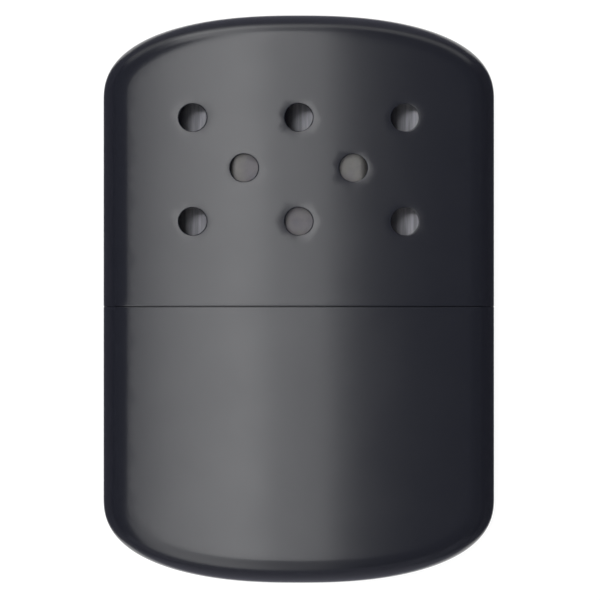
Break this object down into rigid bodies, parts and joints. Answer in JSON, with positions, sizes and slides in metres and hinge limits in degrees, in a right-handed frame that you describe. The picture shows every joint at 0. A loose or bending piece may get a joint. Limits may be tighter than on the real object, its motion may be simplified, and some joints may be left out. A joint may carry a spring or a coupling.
{
  "type": "catalytic hand warmer",
  "caption": "Flat pocket hand warmer: a rounded black tank and a vented lid that pulls off a bright neck, over a filler mouth and a lift-off catalytic burner.",
  "frame": {"origin": "middle of the outline, on the surface that the back lies on", "axes": "+X to the right seen from the front, +Y towards the top of the lid, +Z out of the vented front"},
  "size_m": [0.0682, 0.099, 0.013],
  "materials": {
    "black_coating": "satin baked coating with a fine grain",
    "nickel_plate": "bright nickel plate over drawn steel",
    "burner_steel": "stamped steel sheet, dulled and faintly tinted by heat",
    "gauze_steel": "fine crossed wire",
    "catalyst_fibre": "grey glass-fibre mat carrying platinum",
    "cotton_wadding": "loose white cotton batting",
    "wool_felt": "pressed off-white felt"
  },
  "bodies": {
    "tank": {"tank_shell": "black_coating", "neck_cup": "nickel_plate", "mouth_tube": "nickel_plate", "wick_felt": "wool_felt", "cotton_front": "cotton_wadding", "cotton_core": "cotton_wadding", "cotton_rear": "cotton_wadding"},
    "lid": {"lid_shell": "black_coating"},
    "burner": {"burner_skirt": "burner_steel", "vapour_plate": "burner_steel", "catalyst_mat": "catalyst_fibre", "gauze_front": "gauze_steel", "gauze_rear": "gauze_steel", "cage_front": "burner_steel", "cage_rear": "burner_steel"}
  },
  "joints": [
    {"name": "lid_slide", "type": "slide", "parent": "tank", "child": "lid", "axis": [0, 1, 0], "range_m": [0, 0.06]},
    {"name": "burner_slide", "type": "slide", "parent": "tank", "child": "burner", "axis": [0, 1, 0], "range_m": [0, 0.014]}
  ]
}
